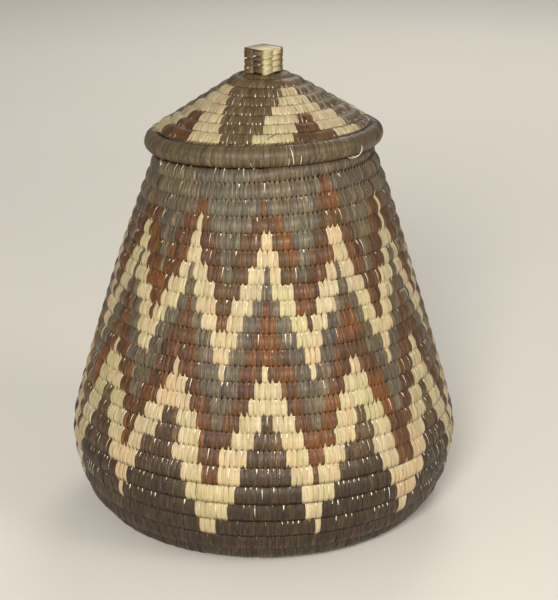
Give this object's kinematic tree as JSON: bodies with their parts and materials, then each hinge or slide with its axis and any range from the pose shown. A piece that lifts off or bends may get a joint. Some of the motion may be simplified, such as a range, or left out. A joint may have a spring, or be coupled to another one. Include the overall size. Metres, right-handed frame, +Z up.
{
  "type": "lidded basket",
  "caption": "Coiled basket with a wide belly and a narrowing neck, closed by a pointed lid with a thick rim, a collar that drops into the mouth, and a small woven knob to lift it by.",
  "frame": {"origin": "middle of the flat underside that the basket stands on", "axes": "+Z up through the lid's knob, front of the picture at -Y, +X to the right as seen from the front"},
  "size_m": [0.2058, 0.2054, 0.2487],
  "materials": {
    "dark_leaf": "dark brown dyed palm leaf, satin",
    "taupe_leaf": "grey-brown dyed palm leaf, satin",
    "rim_leaf": "olive-brown palm leaf, finely wrapped, satin",
    "brown_leaf": "brown dyed palm leaf, satin",
    "cream_leaf": "undyed palm leaf, satin",
    "grass_core": "dry grass, matte"
  },
  "bodies": {
    "basket": {"base_start": "dark_leaf", "base_coil": "dark_leaf", "wall_coil": "taupe_leaf"},
    "lid": {"lid_coil": "cream_leaf", "lid_rim": "rim_leaf", "lid_collar": "dark_leaf", "lid_start": "dark_leaf", "knob_core": "grass_core", "knob_column_1": "brown_leaf", "knob_column_2": "brown_leaf", "knob_column_3": "cream_leaf", "knob_column_4": "cream_leaf", "knob_column_5": "brown_leaf", "knob_column_6": "brown_leaf", "knob_column_7": "cream_leaf", "knob_column_8": "cream_leaf", "knob_crown": "cream_leaf"}
  },
  "joints": [
    {"name": "lid_lift", "type": "slide", "parent": "basket", "child": "lid", "axis": [0, 0, 1], "range_m": [0, 0.15]}
  ]
}
